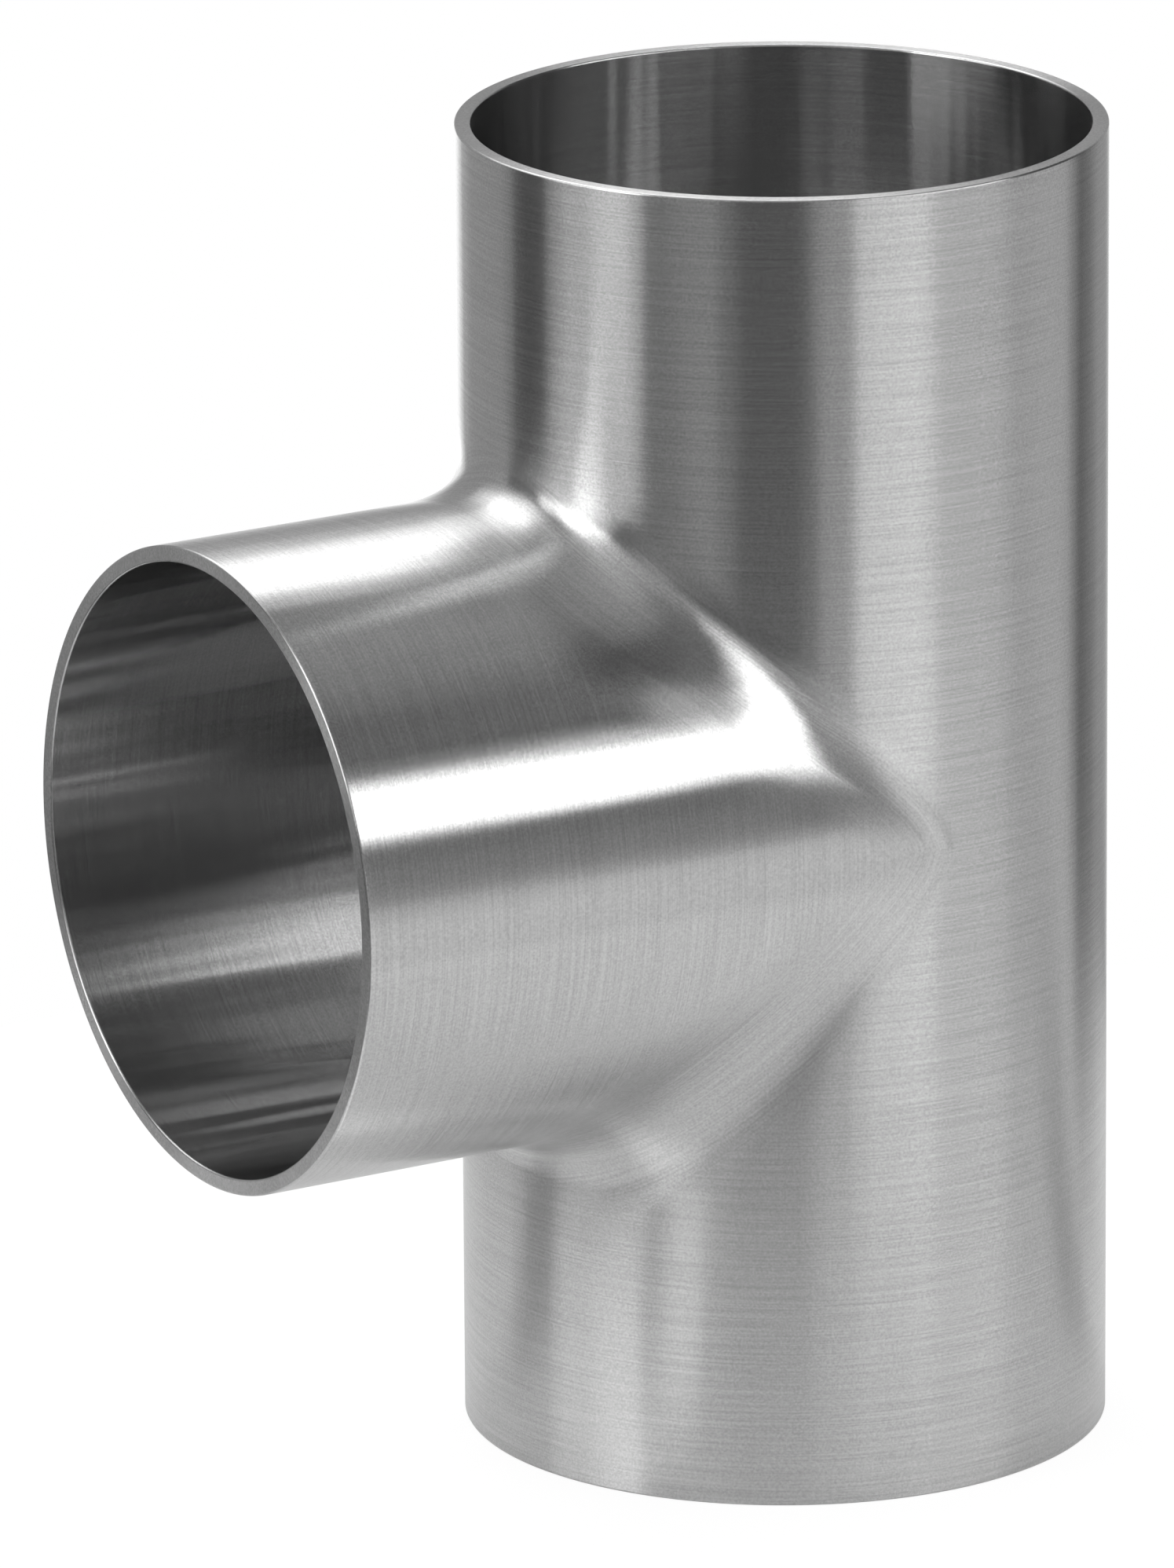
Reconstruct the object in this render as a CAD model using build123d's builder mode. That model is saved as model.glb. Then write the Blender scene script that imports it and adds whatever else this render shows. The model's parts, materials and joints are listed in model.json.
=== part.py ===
from build123d import *
import os

# Driving dimensions in millimetres
tube_od = 101.6  # outside diameter of the run
outlet_undersize = 0.4  # how much smaller the drawn branch comes out than the run
wall = 2.6  # wall thickness, kept all round the forming
run_centre_to_end = 104.775  # from the branch axis to each end of the run
branch_centre_to_end = 104.775  # from the run axis to the end of the branch
crotch_radius = 5.6  # outside blend where the branch leaves the run
edge_break = 0.35  # bevel that takes the burr off both edges of each cut end

branch_od = tube_od - outlet_undersize

os.makedirs("parts", exist_ok=True)

# One formed tube tee. The origin is where the axes of run and branch cross,
# the run stands along Z and the branch points along -X.
with BuildPart() as tee_body:
    # The run, still solid. Its circle starts on the branch side, so that the
    # seam of the round face is mostly taken away by the branch.
    run_start = Plane.XY.offset(-run_centre_to_end).rotated((0, 0, 180))
    with BuildSketch(run_start):
        Circle(tube_od / 2)
    extrude(amount=2 * run_centre_to_end)

    # The branch, drawn out of the side of the run
    with BuildSketch(Plane.YZ):
        Circle(branch_od / 2)
    extrude(amount=-branch_centre_to_end)

    # The crotch: a saddle-shaped edge that rises over and under the branch and
    # fades out at the two sides, where the tubes are almost tangent
    saddle_edge = tee_body.edges().filter_by(GeomType.BSPLINE)
    fillet(saddle_edge, radius=crotch_radius)

    # The wall follows the outside, so the inner turn of the crotch keeps the
    # same centre as the outer one and is larger by the wall
    end_faces = tee_body.faces().filter_by(GeomType.PLANE)
    offset(amount=-wall, openings=end_faces)

    # The ends are cut square for welding and deburred inside and out
    rims = tee_body.faces().filter_by(GeomType.PLANE)
    chamfer(rims.edges(), length=edge_break)

tee_body.part.label = "tee_body"
export_step(tee_body.part, "parts/tee_body.step")
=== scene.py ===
import json
import math
import bmesh
import bpy
import numpy as np
from mathutils import Matrix, Vector


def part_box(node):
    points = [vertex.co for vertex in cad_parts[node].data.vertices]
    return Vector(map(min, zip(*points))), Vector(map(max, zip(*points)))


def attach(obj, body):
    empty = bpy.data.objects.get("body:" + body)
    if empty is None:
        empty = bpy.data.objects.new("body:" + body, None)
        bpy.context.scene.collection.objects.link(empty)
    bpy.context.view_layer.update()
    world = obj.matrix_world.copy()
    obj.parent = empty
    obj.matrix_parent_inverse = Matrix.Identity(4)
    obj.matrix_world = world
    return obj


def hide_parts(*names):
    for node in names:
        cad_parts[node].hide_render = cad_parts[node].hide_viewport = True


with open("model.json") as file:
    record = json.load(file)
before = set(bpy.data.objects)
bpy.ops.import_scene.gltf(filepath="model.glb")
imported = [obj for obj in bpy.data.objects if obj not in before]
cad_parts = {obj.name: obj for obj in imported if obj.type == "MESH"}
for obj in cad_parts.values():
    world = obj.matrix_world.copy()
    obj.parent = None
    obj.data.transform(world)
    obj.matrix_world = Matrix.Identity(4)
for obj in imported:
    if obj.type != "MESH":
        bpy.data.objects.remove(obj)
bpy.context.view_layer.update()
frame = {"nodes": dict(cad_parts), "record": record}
print("frame loaded:", ", ".join(frame["nodes"]))

mm = 0.001

# What a user would change on the tee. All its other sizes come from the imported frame.
tee = {
    "node": "tee_body",
    "slot": "brushed_stainless",
    # The outside turn of the crotch on the branch and on the run: over and under the branch, at its
    # upper and lower shoulders, the shoulder angle round from there, and at its two sides
    "crotchBranch": (7.5 * mm, 27 * mm, 22 * mm, 16 * mm),
    "crotchRun": (5.6 * mm, 8 * mm, 20 * mm, 16 * mm),
    "shoulderAngle": 60,         # degrees
    "crotchTension": (0.5, 0.8),     # how far it holds on along branch and run, 1 is the sharp corner
    "rimRounding": 0.35 * mm,    # softened edges of each cut end
    "lineTurn": (11 * mm, 5 * mm),   # how far from the crotch the belt lines turn, on branch and run
    "columnsQuarter": 96,        # mesh columns in each quarter of the branch
    "columnsBack": 190,          # mesh columns on the plain back of the run
    "rowsWall": 14,              # mesh rows along each straight wall
    "rowsCrotch": 14,            # mesh rows across the crotch
    "rowsRim": 5,                # mesh rows round each softened edge
    "weldDistance": 0.001 * mm,  # points nearer than this become one
}

low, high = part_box(tee["node"])
bores = {m["name"]: m["dims"]["r_mm"] * mm for m in frame["record"]["mounts"] if "r_mm" in m["dims"]}
runRadius = high.y
runHalf = high.z
branchReach = -low.x
wall = runRadius - bores["run_bore"]
branchRadius = bores["branch_bore"] + wall
floorHeight = low.z


def unit(vectors):
    return vectors / np.linalg.norm(vectors, axis=-1, keepdims=True)


def smooth(share):
    share = np.clip(share, 0, 1)
    return share * share * (3 - 2 * share)


class Skin:
    # Grids of points that are welded into one closed mesh. Each grid brings its own true normals, the
    # direction in which highlights are drawn out, the shares of the belt lines on run, branch and
    # crotch, and its place across and along the crotch, with 1 beside them in the bores.
    def __init__(self):
        self.points, self.normals, self.drawn, self.shares, self.places, self.faces = [], [], [], [], [], []
        self.count = 0

    def add(self, points, normals, drawn, shares, places=(0, 0, 0)):
        rows, columns = points.shape[:2]
        index = np.arange(rows * columns).reshape(rows, columns) + self.count
        a, b = index[:-1, :-1], index[:-1, 1:]
        c, d = index[1:, 1:], index[1:, :-1]
        alongRow = points[:-1, 1:] - points[:-1, :-1]
        alongColumn = points[1:, :-1] - points[:-1, :-1]
        facing = np.sum(np.cross(alongRow, alongColumn) * normals[:-1, :-1])
        quads = np.stack([a, b, c, d] if facing > 0 else [a, d, c, b], -1)
        self.faces += quads.reshape(-1, 4).tolist()
        for store, grid in ((self.points, points), (self.normals, normals), (self.drawn, drawn),
                            (self.shares, shares), (self.places, places)):
            store.append(np.broadcast_to(grid, points.shape).reshape(-1, 3))
        self.count += rows * columns


def crotchRadii(phi, radii):
    # The radii over and under the branch, at its upper and lower shoulders and at its sides, with
    # smooth changes between them
    top, upper, lower, side = radii
    fold = np.degrees(np.arcsin(np.abs(np.sin(phi))))
    shoulder = np.where(np.cos(phi) > 0, upper, lower)
    turn = tee["shoulderAngle"]
    toShoulder, toSide = smooth(fold / turn), smooth((fold - turn) / (90 - turn))
    return top + (shoulder - top) * toShoulder + (side - shoulder) * toSide


def crotchEdge(phi, radii):
    # A ball rolls round the crotch, touching branch and run. Its middle, the directions from the two
    # walls to it, and the reach from its contacts to the sharp corner. Phi is 0 at the branch's top.
    radius = crotchRadii(phi, radii)
    y, z = (branchRadius + radius) * np.sin(phi), (branchRadius + radius) * np.cos(phi)
    x = -np.sqrt((runRadius + radius) ** 2 - y ** 2)
    none = np.zeros_like(y)
    middle = np.stack([x, y, z], -1)
    fromBranch = np.stack([none, np.sin(phi), np.cos(phi)], -1)
    fromRun = np.stack([x, y, none], -1) / (runRadius + radius)[:, None]
    cos = np.sum(fromBranch * fromRun, -1, keepdims=True)
    sin = np.sqrt(1 - cos ** 2)
    radius = radius[:, None]
    reach = radius * np.tan(np.arccos(cos) / 2)
    offBranch, offRun = (cos * fromBranch - fromRun) / sin, (cos * fromRun - fromBranch) / sin
    return ((middle - radius * fromBranch, fromBranch, reach * offBranch),
            (middle - radius * fromRun, fromRun, reach * offRun))


def crotchCurves(phi):
    # The outside of the crotch: a curve from the branch to the run at each phi, tangent to both walls
    start, fromBranch, offBranch = crotchEdge(phi, tee["crotchBranch"])[0]
    stop, fromRun, offRun = crotchEdge(phi, tee["crotchRun"])[1]
    leave, arrive = start + tee["crotchTension"][0] * offBranch, stop + tee["crotchTension"][1] * offRun
    t = np.linspace(0, 1, tee["rowsCrotch"] + 1)[:, None, None]
    s = 1 - t
    points = s ** 3 * start + 3 * s ** 2 * t * leave + 3 * s * t ** 2 * arrive + t ** 3 * stop
    onward = s ** 2 * (leave - start) + 2 * s * t * (arrive - leave) + t ** 2 * (stop - arrive)
    return points, unit(onward), fromBranch, fromRun


def crotchNormals(phi):
    # From the true curves on both sides of each phi, so that the shading is smoother than the mesh
    step = math.radians(0.1)
    points, onward, fromBranch, fromRun = crotchCurves(phi)
    aside = crotchCurves(phi + step)[0] - crotchCurves(phi - step)[0]
    normals = unit(np.cross(onward, aside))
    normals *= np.sign(np.sum(normals * (fromBranch + fromRun), -1, keepdims=True))
    normals[0], normals[-1] = fromBranch, fromRun
    return points, normals, onward


def turned(points, normals, axis, crotch, side):
    # Highlights are drawn out along the tube's axis, and beside the crotch they turn square to it.
    # Side is -1 on the branch and 1 on the run.
    edge, onward, across, along = (grid[0 if side < 0 else -1] for grid in crotch)
    flat = points.reshape(-1, 3)
    distance = np.linalg.norm(flat[:, None] - edge[None], axis=-1)
    nearest = distance.argmin(1)
    distance = distance.min(1)
    near = smooth(1 - distance / tee["lineTurn"][0 if side < 0 else 1])[:, None]
    drawn = near * onward[nearest] + (1 - near) * np.array(axis, float)
    facing = normals.reshape(-1, 3)
    drawn = drawn - np.sum(drawn * facing, -1, keepdims=True) * facing
    places = np.stack([across[nearest] + side * distance, along[nearest], 0 * distance], -1)
    straight, none = 1 - near, 0 * near
    shares = np.concatenate([none, straight, near] if side < 0 else [straight, none, near], -1)
    return [grid.reshape(points.shape) for grid in (unit(drawn), shares, places)]


# The tee is built in an upper and a lower half: where phi starts, in half turns, and which way the
# run goes from there
halves = ((-0.5, 1), (0.5, -1))


def halfTurn(start):
    return np.linspace(start, start + 1, 2 * tee["columnsQuarter"] + 1) * math.pi


def addSheets(skin, points, normals, drawn, shares, places):
    # The outside, and the bore that lies one wall below it
    skin.add(points, normals, drawn, shares, places)
    skin.add(points - wall * normals, -normals, drawn, shares, places + np.array([0, 0, 1.0]))


def addWalls(skin):
    rows = np.linspace(0, 1, tee["rowsWall"] + 1)[:, None]
    for start, up in halves:
        phi = halfTurn(start)
        points, normals, onward = crotchNormals(phi)
        branchEdge, runEdge, facing = points[0], points[-1], normals[[0, -1]]
        across = np.linalg.norm(points - branchEdge, axis=-1)
        across = across - across[-1] / 2
        along = phi * branchRadius + 0 * across
        crotch = points, onward, across, along
        addSheets(skin, points, normals, onward, (0, 0, 1), np.stack([across, along, 0 * along], -1))

        # Branch, from the crotch to its cut end
        x = branchEdge[:, 0] * (1 - rows) - (branchReach - tee["rimRounding"]) * rows
        points = np.stack([x, branchEdge[:, 1] + 0 * x, branchEdge[:, 2] + 0 * x], -1)
        normals = np.broadcast_to(facing[0], points.shape)
        addSheets(skin, points, normals, *turned(points, normals, (1, 0, 0), crotch, -1))

        # Run, from the crotch up or down to its cut end
        z = runEdge[:, 2] * (1 - rows) + up * (runHalf - tee["rimRounding"]) * rows
        points = np.stack([runEdge[:, 0] + 0 * z, runEdge[:, 1] + 0 * z, z], -1)
        normals = np.broadcast_to(facing[1], points.shape)
        addSheets(skin, points, normals, *turned(points, normals, (0, 0, up), crotch, 1))

        # Plain back of the run
        outward = backDirections()
        z = up * (runHalf - tee["rimRounding"]) * rows + np.zeros(len(outward))
        points = outward * runRadius + np.stack([0 * z, 0 * z, z], -1)
        normals = np.broadcast_to(outward, points.shape)
        addSheets(skin, points, normals, *turned(points, normals, (0, 0, up), crotch, 1))


def backDirections():
    # From one end of the crotch round the back of the run to the other end
    side = tee["crotchRun"][-1]
    edge = math.asin((branchRadius + side) / (runRadius + side))
    angle = np.linspace(edge, 2 * math.pi - edge, tee["columnsBack"] + 1)
    return np.stack([-np.cos(angle), np.sin(angle), 0 * angle], -1)


def addRim(skin, outward, axis, radius, reach, shares):
    # A cut end: the flat that was faced square for welding, between two softened edges
    rounding = tee["rimRounding"]
    turn = np.linspace(0, math.pi / 2, tee["rowsRim"] + 1)
    cos = np.concatenate([np.cos(turn), -np.cos(turn[::-1])])[:, None, None]
    sin = np.concatenate([np.sin(turn), np.sin(turn[::-1])])[:, None, None]
    middle = np.where(np.arange(len(cos)) <= tee["rowsRim"], radius - rounding, radius - wall + rounding)
    axis = np.array(axis, float)
    points = outward * (middle[:, None, None] + rounding * cos) + axis * (reach - rounding + rounding * sin)
    normals = outward * cos + axis * sin
    skin.add(points, normals, axis * cos - outward * sin, shares)


def buildTee():
    skin = Skin()
    addWalls(skin)
    runShares, branchShares = np.array([1.0, 0, 0]), np.array([0, 1.0, 0])
    for start, up in halves:
        phi = halfTurn(start)
        outward = crotchEdge(phi, tee["crotchBranch"])[0][1]
        addRim(skin, outward, (-1, 0, 0), branchRadius, branchReach, branchShares)
        front = crotchEdge(phi, tee["crotchRun"])[1][1]
        for outward in (front, backDirections()):
            addRim(skin, outward, (0, 0, up), runRadius, runHalf, runShares)

    mesh = bpy.data.meshes.new("tubeTee")
    points, normals = np.concatenate(skin.points), np.concatenate(skin.normals)
    mesh.from_pydata(points.tolist(), [], skin.faces)
    corners = np.zeros(len(mesh.loops), int)
    mesh.loops.foreach_get("vertex_index", corners)
    for name, grid in (("drawnOut", skin.drawn), ("linePattern", skin.shares), ("crotchPlace", skin.places)):
        values = mesh.attributes.new(name, "FLOAT_VECTOR", "CORNER")
        values.data.foreach_set("vector", np.concatenate(grid)[corners].astype(np.float32).ravel())
    kept = mesh.attributes.new("trueNormal", "FLOAT_VECTOR", "POINT")
    kept.data.foreach_set("vector", normals.astype(np.float32).ravel())
    work = bmesh.new()
    work.from_mesh(mesh)
    bmesh.ops.remove_doubles(work, verts=work.verts, dist=tee["weldDistance"])
    openEdges = sum(not edge.is_manifold for edge in work.edges)
    work.to_mesh(mesh)
    work.free()
    mesh.shade_smooth()
    trueNormals = np.zeros(len(mesh.vertices) * 3, np.float32)
    mesh.attributes["trueNormal"].data.foreach_get("vector", trueNormals)
    mesh.normals_split_custom_set_from_vertices(trueNormals.reshape(-1, 3).tolist())
    mesh.attributes.remove(mesh.attributes["trueNormal"])
    triangles = 2 * len(mesh.polygons)
    print("tee:", len(mesh.vertices), "points,", triangles, "triangles,", openEdges, "open edges")
    piece = bpy.data.objects.new("tubeTee", mesh)
    bpy.context.scene.collection.objects.link(piece)
    return piece


def linear(hexColour):
    # sRGB hex to the linear colour that the shaders take
    parts = [int(hexColour[i:i + 2], 16) / 255 for i in (1, 3, 5)]
    return [p / 12.92 if p <= 0.04045 else ((p + 0.055) / 1.055) ** 2.4 for p in parts] + [1.0]


def addNode(tree, kind, settings=None, links=None):
    # Adds one node. A setting goes to a socket, by its name or number, or to the node's own option.
    node = tree.nodes.new(kind)
    for name, value in (settings or {}).items():
        if isinstance(name, int) or name in node.inputs:
            node.inputs[name].default_value = value
        else:
            setattr(node, name, value)
    for name, source in (links or {}).items():
        tree.links.new(source, node.inputs[name])
    return node


# Type 304 stainless steel tube, drawn and then belt polished round the tube to a satin finish. It gives
# a pale neutral metal whose highlights stay crisp round the tube and are drawn out along it. In the
# bores the shallow waves that drawing leaves break them into long streaks.
stainless = {
    "paleColour": "#D4D4D4",
    "dullColour": "#BABABA",
    "roughness": 0.27,
    "boreRoughness": 0.19,
    "anisotropy": 0.97,
    "lineSpacing": 0.3 * mm,     # the real belt lines are about 0.05 mm apart, too fine to show
    "lineLength": 22 * mm,
    "lineDetail": 2.0,           # finer layers of lines over the first
    "grainSize": 0.35 * mm,      # the real grain is under 0.1 mm, too fine to show
    "grainDetail": 1.0,
    "waveSpacing": 6 * mm,
    "waveLength": 90 * mm,
    "waveDetail": 1.0,
    "waveDepth": 0.3 * mm,
    "layerShare": 0.6,           # how strong each finer layer of lines or waves is beside the last
    "outerWaves": 0.25,          # the belt took most of the waves off the outside
    "toneLow": 0.7,              # lines and grain together give the dull colour here
    "toneHigh": 1.3,             # and the pale one here
}


def brushedStainless():
    material = bpy.data.materials.new("brushedStainless")
    material.use_nodes = True
    tree = material.node_tree
    tree.nodes.clear()
    place = addNode(tree, "ShaderNodeTexCoord").outputs["Object"]
    crotchPlace = addNode(tree, "ShaderNodeAttribute", {"attribute_name": "crotchPlace"}).outputs["Vector"]
    inBore = addNode(tree, "ShaderNodeSeparateXYZ", links={0: crotchPlace}).outputs[2]
    patternShare = addNode(tree, "ShaderNodeAttribute", {"attribute_name": "linePattern"})
    shares = addNode(tree, "ShaderNodeSeparateXYZ", links={0: patternShare.outputs["Vector"]}).outputs

    # Lines and waves lie across the tubes or along them, and beside the crotch they follow it
    def pattern(across, along, detail):
        parts = []
        atCrotch = crotchPlace, (across, along, 1)
        onRun = place, (along, along, across)
        onBranch = place, (across, along, along)
        for source, scales in (atCrotch, onRun, onBranch):
            scaled = addNode(tree, "ShaderNodeVectorMath", {"operation": "MULTIPLY", 1: scales}, {0: source})
            noise = addNode(tree, "ShaderNodeTexNoise", {
                "Scale": 1.0, "Detail": detail, "Roughness": stainless["layerShare"]},
                {"Vector": scaled.outputs[0]})
            parts.append(noise.outputs["Fac"])
        withRun = addNode(tree, "ShaderNodeMix", {"data_type": "FLOAT"},
                          {0: shares[0], 2: parts[0], 3: parts[1]})
        return addNode(tree, "ShaderNodeMix", {"data_type": "FLOAT"},
                       {0: shares[1], 2: withRun.outputs[0], 3: parts[2]}).outputs[0]

    lines = pattern(1 / stainless["lineSpacing"], 1 / stainless["lineLength"], stainless["lineDetail"])
    waves = pattern(1 / stainless["waveLength"], 1 / stainless["waveSpacing"], stainless["waveDetail"])
    grain = addNode(tree, "ShaderNodeTexNoise", {
        "Scale": 1 / stainless["grainSize"], "Detail": stainless["grainDetail"]},
        {"Vector": place}).outputs["Fac"]
    tone = addNode(tree, "ShaderNodeMath", {"operation": "ADD"}, {0: lines, 1: grain})
    toneShare = addNode(tree, "ShaderNodeMapRange", {
        "From Min": stainless["toneLow"], "From Max": stainless["toneHigh"]}, {"Value": tone.outputs[0]})
    colour = addNode(tree, "ShaderNodeMix", {
        "data_type": "RGBA", 6: linear(stainless["dullColour"]), 7: linear(stainless["paleColour"])},
        {0: toneShare.outputs[0]}).outputs[2]
    rough = addNode(tree, "ShaderNodeMix", {
        "data_type": "FLOAT", 2: stainless["roughness"], 3: stainless["boreRoughness"]}, {0: inBore})
    waveShare = addNode(tree, "ShaderNodeMapRange", {"To Min": stainless["outerWaves"], "To Max": 1.0},
                        {"Value": inBore})
    waved = addNode(tree, "ShaderNodeBump", {"Distance": stainless["waveDepth"]},
                    {"Strength": waveShare.outputs[0], "Height": waves})
    drawnOut = addNode(tree, "ShaderNodeAttribute", {"attribute_name": "drawnOut"})
    steel = addNode(tree, "ShaderNodeBsdfPrincipled", {
        "Metallic": 1.0, "Anisotropic": stainless["anisotropy"]}, {
        "Base Color": colour, "Roughness": rough.outputs[0], "Normal": waved.outputs[0],
        "Tangent": drawnOut.outputs["Vector"]})
    addNode(tree, "ShaderNodeOutputMaterial", links={"Surface": steel.outputs[0]})
    print("brushedStainless:", len(tree.nodes), "nodes")
    return material


# The studio. Azimuths are in degrees round from +X towards +Y, heights in degrees above the horizon.
studio = {
    "colour": "#FFFFFF",
    "cameraLevel": 1.0,          # the background that the camera sees is plain white
    "matLevel": 0.9,             # what matt surfaces get, such as the floor
    "room": 0.07,                # what the steel mirrors between the panels
    "panels": [
        # name, azimuth, half width, low edge, high edge, edge softness, level
        ("back wall", 72, 56, -28, 28, 3, 0.38),
        ("overhead box", 92, 50, 28, 62, 8, 1.7),
        ("overhead lamp", 76, 25, 38, 58, 6, 3.8),
        ("left box edge", 157, 7, 0, 36, 4, 2.0),
        ("left box", 176, 11, 5, 46, 3.5, 4.4),
        ("front left glow", -155, 14, -38, 0, 8, 0.27),
        ("left front lamp", -151, 10, 0, 22, 7, 0.45),
        ("front glow", -140, 35, 22, 60, 8, 0.5),
        ("key box", -54, 20, 17.5, 30, 4, 5.4),
        ("key wing left", -82, 12, 20, 37, 5, 2.4),
        ("front card", -98, 12, -14, 14, 6, 0.7),
        ("front card edge", -77, 8, -3, 12, 4, 0.8),
        ("key wing", -28, 24, 38, 44, 4, 0.4),
        ("ceiling", 0, 180, 62, 100, 9, 0.5),
        ("front floor", -103, 7, -35, -6, 7, 0.35),
        ("right floor", -46, 50, -35, -6, 5, 0.75),
        ("right floor near", -80, 13, -35, -5, 7, 1.15),
        ("right floor far", -38, 17, -35, -5, 6, 0.68),
        ("back floor", 65, 17, -30, -2, 5, 1.5),
        ("left floor", 166, 16, -45, -14, 4, 0.5),
        ("right gap", 15, 6, -40, 25, 3, 0.22),
    ],
}


def azimuthOf(tree, toward):
    # Degrees round from +X towards +Y
    parts = addNode(tree, "ShaderNodeSeparateXYZ", links={0: toward}).outputs
    turn = addNode(tree, "ShaderNodeMath", {"operation": "ARCTAN2"}, {0: parts["Y"], 1: parts["X"]})
    return addNode(tree, "ShaderNodeMath", {"operation": "DEGREES"}, {0: turn.outputs[0]}).outputs[0]


def around(tree, azimuth, centre, half, soft):
    # 1 within half a width of the centre, and softly down to 0 beyond
    offset = addNode(tree, "ShaderNodeMath", {"operation": "SUBTRACT", 1: centre}, {0: azimuth})
    wrapped = addNode(tree, "ShaderNodeMath", {"operation": "WRAP", 1: 180, 2: -180}, {0: offset.outputs[0]})
    apart = addNode(tree, "ShaderNodeMath", {"operation": "ABSOLUTE"}, {0: wrapped.outputs[0]})
    return addNode(tree, "ShaderNodeMapRange", {
        "interpolation_type": "SMOOTHSTEP", "From Min": half + soft, "From Max": half - soft},
        {"Value": apart.outputs[0]}).outputs[0]


def buildWorld():
    world = bpy.data.worlds.new("studioLight")
    bpy.context.scene.world = world
    world.use_nodes = True
    tree = world.node_tree
    tree.nodes.clear()
    toward = addNode(tree, "ShaderNodeTexCoord").outputs["Generated"]
    azimuth = azimuthOf(tree, toward)
    parts = addNode(tree, "ShaderNodeSeparateXYZ", links={0: toward}).outputs
    rise = addNode(tree, "ShaderNodeMath", {"operation": "ARCSINE"}, {0: parts["Z"]})
    height = addNode(tree, "ShaderNodeMath", {"operation": "DEGREES"}, {0: rise.outputs[0]}).outputs[0]

    # Starts at the room's level, and each panel is mixed over the ones before it
    level = addNode(tree, "ShaderNodeMath", {"operation": "ADD", 0: studio["room"], 1: 0}).outputs[0]
    for name, centre, half, lowEdge, highEdge, soft, strength in studio["panels"]:
        mask = around(tree, azimuth, centre, half, soft)
        for edge, inner in ((lowEdge - soft, lowEdge + soft), (highEdge + soft, highEdge - soft)):
            side = addNode(tree, "ShaderNodeMapRange", {
                "interpolation_type": "SMOOTHSTEP", "From Min": edge, "From Max": inner}, {"Value": height})
            mask = addNode(tree, "ShaderNodeMath", {"operation": "MULTIPLY"},
                           {0: mask, 1: side.outputs[0]}).outputs[0]
        level = addNode(tree, "ShaderNodeMix", {"data_type": "FLOAT", "label": name, 3: strength},
                        {0: mask, 2: level}).outputs[0]
    rays = addNode(tree, "ShaderNodeLightPath").outputs
    plain = addNode(tree, "ShaderNodeMix", {"data_type": "FLOAT", 3: studio["matLevel"]},
                    {0: rays["Is Diffuse Ray"], 2: level})
    seen = addNode(tree, "ShaderNodeMix", {"data_type": "FLOAT", 3: studio["cameraLevel"]},
                   {0: rays["Is Camera Ray"], 2: plain.outputs[0]})
    light = addNode(tree, "ShaderNodeBackground", {"Color": linear(studio["colour"])},
                    {"Strength": seen.outputs[0]})
    addNode(tree, "ShaderNodeOutputWorld", links={"Surface": light.outputs[0]})
    print("world:", len(studio["panels"]), "panels")


# Pale board, painted matt. It gives an even ground with a faint shadow under the tee.
floor = {
    "radius": 240 * mm,
    "sides": 96,
    "colour": "#F2F2F2",
    "glowColour": "#FFFFFF",
    "cameraShare": 0.85,         # how much of it the camera sees as plain background
    "cameraLevel": 1.05,
    "mirrorShare": 0.5,          # the same for what the steel mirrors
    "mirrorLevel": 0.7,
    "paintedShadeReach": 110 * mm,    # beyond it the painted shade ends; nearer the tee it fades the floor's glow in the steel, to none at the run's wall
}

# Painted lamplight and painted shade lie on the floor's glow that the steel mirrors, in soft sectors:
# azimuth, half width, softness, change of level
paintedLightAndShadeBands = [
    ("left shade", 155, 8, 5, -0.6),
    ("left lamp", -152, 6, 4, 1.0),
    ("right shade", -20, 7, 5, -0.5),
    ("front lamp", -75, 30, 8, 0.1),
]


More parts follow.
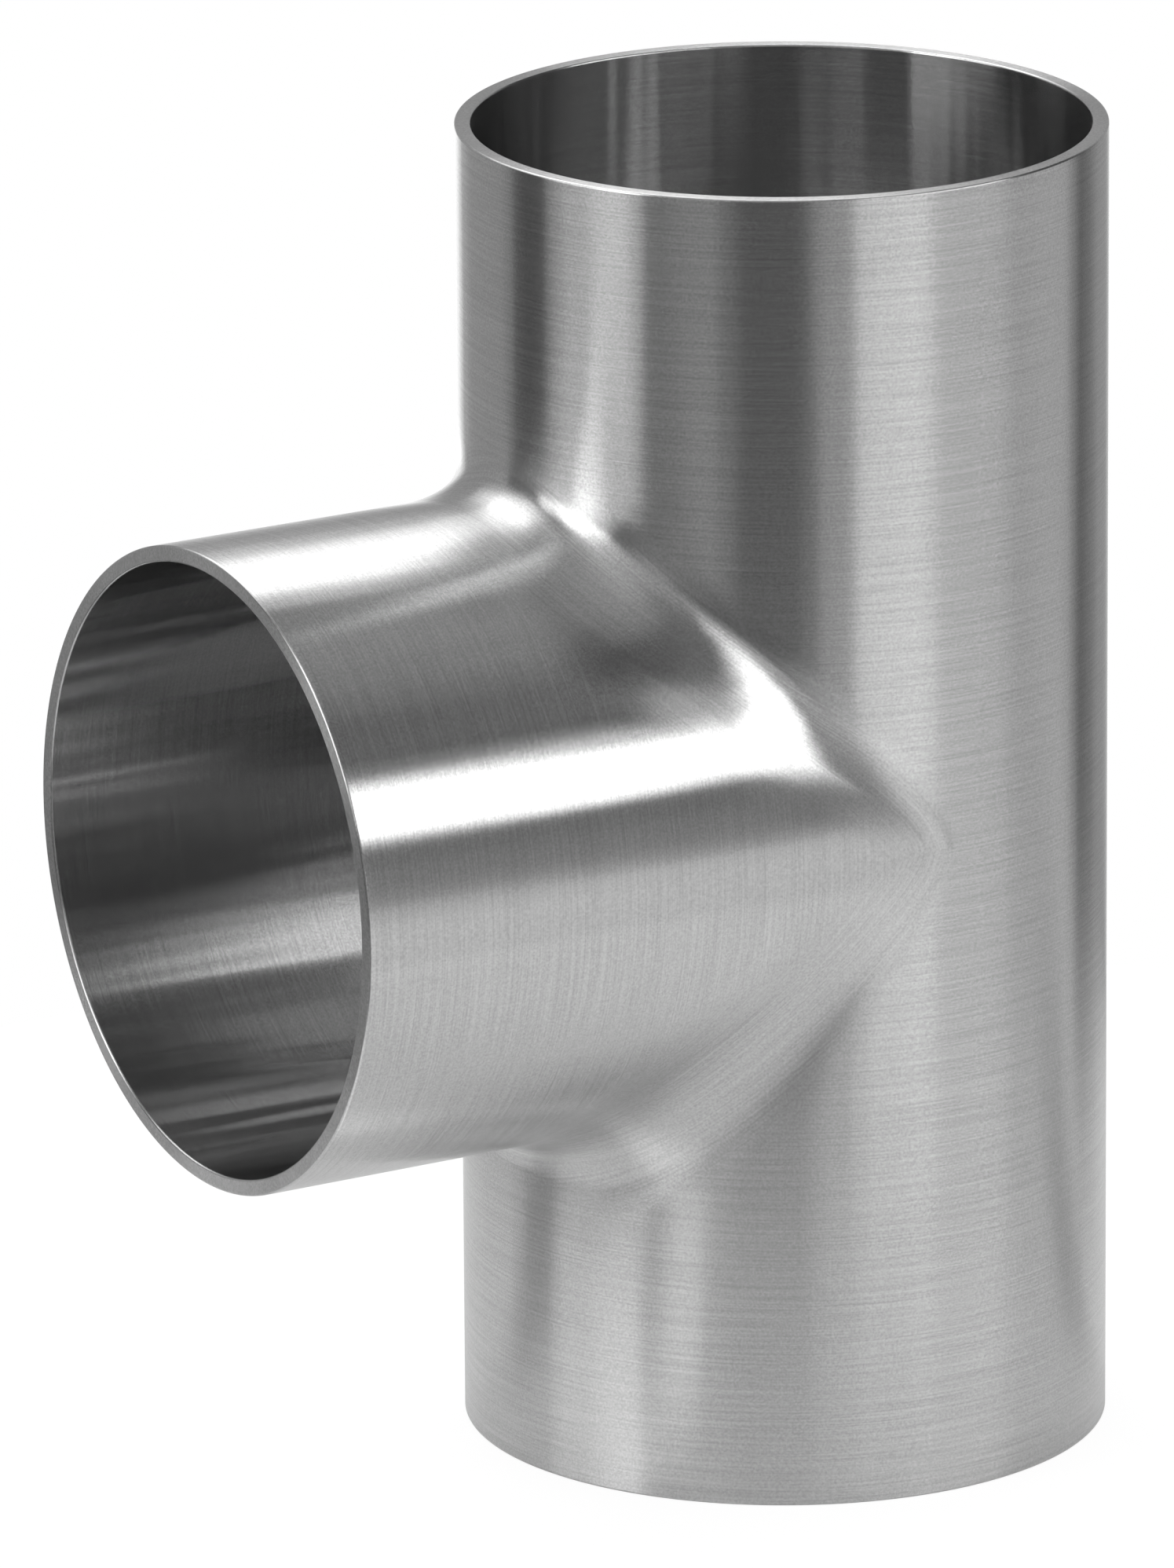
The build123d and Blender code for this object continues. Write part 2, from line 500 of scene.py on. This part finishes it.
def buildFloor():
    mesh = bpy.data.meshes.new("paleFloor")
    turn = [2 * math.pi * i / floor["sides"] for i in range(floor["sides"])]
    ring = [(floor["radius"] * math.cos(a), floor["radius"] * math.sin(a), 0) for a in turn]
    mesh.from_pydata(ring, [], [list(range(floor["sides"]))])
    material = bpy.data.materials.new("paleBoard")
    material.use_nodes = True
    tree = material.node_tree
    tree.nodes.clear()
    rays = addNode(tree, "ShaderNodeLightPath").outputs
    mirrored = addNode(tree, "ShaderNodeMath", {"operation": "MAXIMUM"},
                       {0: rays["Is Glossy Ray"], 1: rays["Is Transmission Ray"]})
    place = addNode(tree, "ShaderNodeTexCoord").outputs["Object"]
    fromTee = addNode(tree, "ShaderNodeVectorMath", {"operation": "LENGTH"}, {0: place}).outputs["Value"]
    # Painted shadow: the steel mirrors less of the floor's glow towards the tee
    glowOutsidePaintedShade = addNode(tree, "ShaderNodeMapRange", {
        "From Min": runRadius, "From Max": floor["paintedShadeReach"], "To Max": floor["mirrorShare"]},
        {"Value": fromTee})
    mirrorShare = addNode(tree, "ShaderNodeMath", {"operation": "MULTIPLY"},
                          {0: mirrored.outputs[0], 1: glowOutsidePaintedShade.outputs[0]})
    share = addNode(tree, "ShaderNodeMath", {"operation": "MULTIPLY_ADD", 1: floor["cameraShare"]},
                    {0: rays["Is Camera Ray"], 2: mirrorShare.outputs[0]})
    azimuth = azimuthOf(tree, place)
    mirrorLevel = addNode(tree, "ShaderNodeMath", {"operation": "ADD", 0: floor["mirrorLevel"], 1: 0})
    mirrorLevel = mirrorLevel.outputs[0]
    # Painted light and painted shade: each sector raises or lowers the floor's glow in the steel
    for name, centre, half, soft, change in paintedLightAndShadeBands:
        band = addNode(tree, "ShaderNodeMath", {"operation": "MULTIPLY_ADD", "label": name, 1: change},
                       {0: around(tree, azimuth, centre, half, soft), 2: mirrorLevel})
        mirrorLevel = band.outputs[0]
    level = addNode(tree, "ShaderNodeMix", {"data_type": "FLOAT", 3: floor["cameraLevel"]},
                    {0: rays["Is Camera Ray"], 2: mirrorLevel})
    glow = addNode(tree, "ShaderNodeEmission", {"Color": linear(floor["glowColour"])},
                   {"Strength": level.outputs[0]})
    board = addNode(tree, "ShaderNodeBsdfDiffuse", {"Color": linear(floor["colour"])})
    both = addNode(tree, "ShaderNodeMixShader",
                   links={0: share.outputs[0], 1: board.outputs[0], 2: glow.outputs[0]})
    addNode(tree, "ShaderNodeOutputMaterial", links={"Surface": both.outputs[0]})
    mesh.materials.append(material)
    piece = bpy.data.objects.new("paleFloor", mesh)
    piece.location.z = floorHeight
    bpy.context.scene.collection.objects.link(piece)
    print("floor: radius", round(floor["radius"] / mm), "mm")


# The camera stands where the photograph was taken: 31 degrees to the left and 16.5 degrees above
camera = {
    "azimuth": -31.016,          # degrees, and so are the next two
    "elevation": 16.546,
    "roll": -0.381,
    "distance": 2450.7 * mm,
    "lens": 358.8,               # millimetres, as is the sensor's long side
    "sensor": 36,
    "aimRight": -30.8 * mm,
    "aimUp": -2.35 * mm,
    "clip": (0.1, 20),           # metres
}


def buildCamera():
    azimuth, elevation, roll = (math.radians(camera[name]) for name in ("azimuth", "elevation", "roll"))
    back = Vector((math.sin(azimuth) * math.cos(elevation),
                   -math.cos(azimuth) * math.cos(elevation),
                   math.sin(elevation)))
    right = Vector((math.cos(azimuth), math.sin(azimuth), 0))
    up = back.cross(right)
    target = right * camera["aimRight"] + up * camera["aimUp"]
    turnedRight = right * math.cos(roll) + up * math.sin(roll)
    turnedUp = up * math.cos(roll) - right * math.sin(roll)
    data = bpy.data.cameras.new("photoCamera")
    data.lens = camera["lens"]
    data.sensor_width = camera["sensor"]
    data.sensor_fit = "AUTO"
    data.clip_start, data.clip_end = camera["clip"]
    eye = bpy.data.objects.new("photoCamera", data)
    place = Matrix((turnedRight, turnedUp, back)).transposed().to_4x4()
    place.translation = target + back * camera["distance"]
    eye.matrix_world = place
    bpy.context.scene.collection.objects.link(eye)
    bpy.context.scene.camera = eye
    print("camera:", round(camera["distance"] / mm), "mm away")


tubeTee = buildTee()
tubeTee.data.materials.append(brushedStainless())
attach(tubeTee, "root")
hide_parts(tee["node"])
buildFloor()
buildWorld()
buildCamera()
bpy.context.scene.view_settings.view_transform = "Standard"
